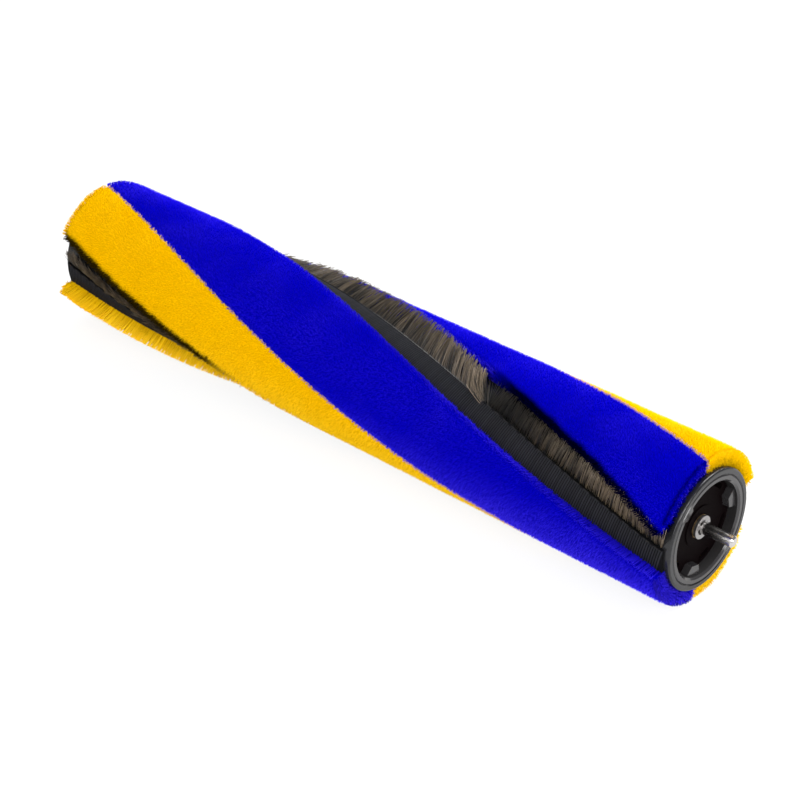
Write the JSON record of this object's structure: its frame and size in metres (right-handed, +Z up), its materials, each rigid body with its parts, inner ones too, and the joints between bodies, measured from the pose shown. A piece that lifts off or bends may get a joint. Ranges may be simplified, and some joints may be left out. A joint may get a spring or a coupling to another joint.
{
  "type": "vacuum roller brush",
  "caption": "Soft roller brush for a vacuum floor head: twisted plush bands, helical filament strips, a turning steel axle pin at the idle end and a keyed drive socket.",
  "frame": {"origin": "middle of the bounding box's bottom face, on the floor that the roller lies on", "axes": "+X along the roller axis from the driven end to the axle pin, +Z up, -Y towards the viewer of the picture"},
  "size_m": [0.22, 0.04, 0.0395],
  "materials": {
    "blue_plush": "cut pile",
    "yellow_plush": "cut pile",
    "woven_tape": "woven",
    "filament": "fine filaments",
    "black_plastic": "satin",
    "dark_plastic": "matte",
    "steel": "polished",
    "bush_bronze": "sintered"
  },
  "bodies": {
    "roller": {"core_tube": "black_plastic", "blue_plush_front": "blue_plush", "blue_plush_rear": "blue_plush", "yellow_plush_front": "yellow_plush", "yellow_plush_rear": "yellow_plush", "filament_tape_upper": "woven_tape", "filament_tape_lower": "woven_tape", "filament_fringe_upper": "filament", "filament_fringe_lower": "filament", "axle_end_plug": "black_plastic", "bearing_plate": "dark_plastic", "axle_bush": "bush_bronze", "drive_end_plug": "black_plastic"},
    "axle": {"axle_pin": "steel", "outer_washer": "steel", "inner_washer": "steel", "outer_clip": "steel", "inner_clip": "steel"}
  },
  "joints": [
    {"name": "axle_spin", "type": "hinge", "parent": "roller", "child": "axle", "pos_m": [0.0976, 0, 0.0195], "axis": [1, 0, 0], "continuous": true}
  ]
}
